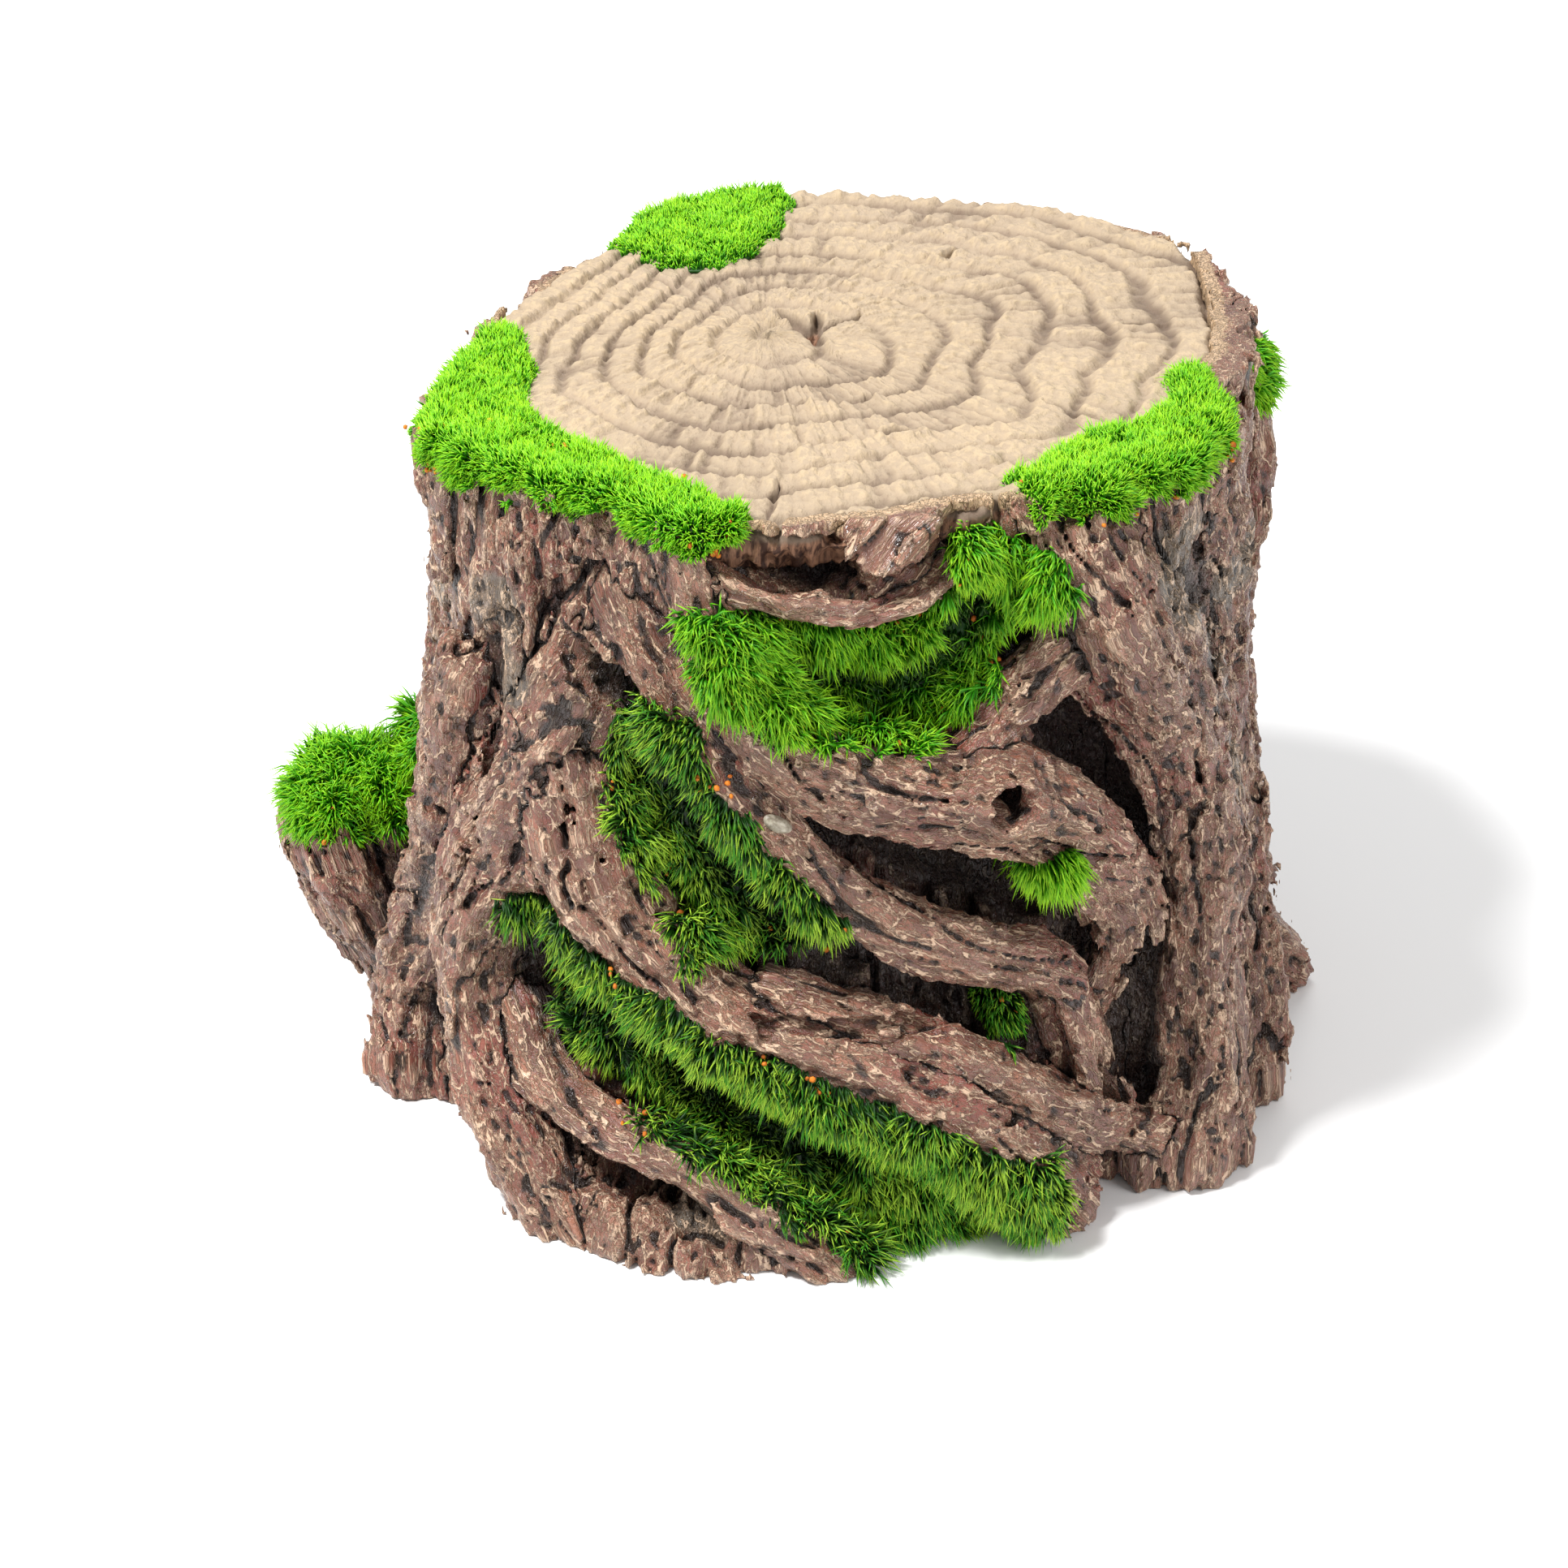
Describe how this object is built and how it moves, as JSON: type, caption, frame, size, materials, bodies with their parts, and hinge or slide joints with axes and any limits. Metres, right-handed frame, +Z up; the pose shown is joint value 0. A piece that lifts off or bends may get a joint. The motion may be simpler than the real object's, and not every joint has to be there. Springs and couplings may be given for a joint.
{
  "type": "tree stump cave ornament",
  "caption": "Tree-stump ornament with a ringed cut face, crossing surface roots, patches of flocked moss and an arched cave open at the back and underside",
  "frame": {"origin": "middle of the footprint, on the ground that the ornament stands on", "axes": "+X to the viewer's right, -Y towards the viewer of the crossing roots, +Z up; the cave mouth faces +Y"},
  "size_m": [0.1439, 0.1221, 0.104],
  "materials": {
    "bark_resin": "hand-painted bark, satin",
    "wood_resin": "hand-painted cut wood, matt",
    "moss": "flocked fibre pile",
    "pebble": "smooth, satin"
  },
  "bodies": {
    "root": {"trunk_shell": "bark_resin", "cut_wood_face": "wood_resin", "front_column_root": "bark_resin", "side_column_root": "bark_resin", "upper_root": "bark_resin", "second_root": "bark_resin", "third_root": "bark_resin", "third_root_strand": "bark_resin", "left_inner_root": "bark_resin", "left_outer_root": "bark_resin", "lip_root": "bark_resin", "shoulder_root": "bark_resin", "eye_ridge": "bark_resin", "left_column_root": "bark_resin", "right_column_root": "bark_resin", "back_left_root": "bark_resin", "back_right_root": "bark_resin", "arch_root": "bark_resin", "right_toe": "bark_resin", "eye_knob": "bark_resin", "branch_stub": "bark_resin", "crevice_pebble": "pebble", "moss_swag": "moss", "moss_middle": "moss", "moss_channel": "moss", "moss_stub_cap": "moss", "moss_tuft_upper": "moss", "moss_tuft_lower": "moss", "moss_right_side": "moss", "moss_top_left": "moss", "moss_top_back": "moss", "moss_top_right": "moss"}
  },
  "joints": []
}
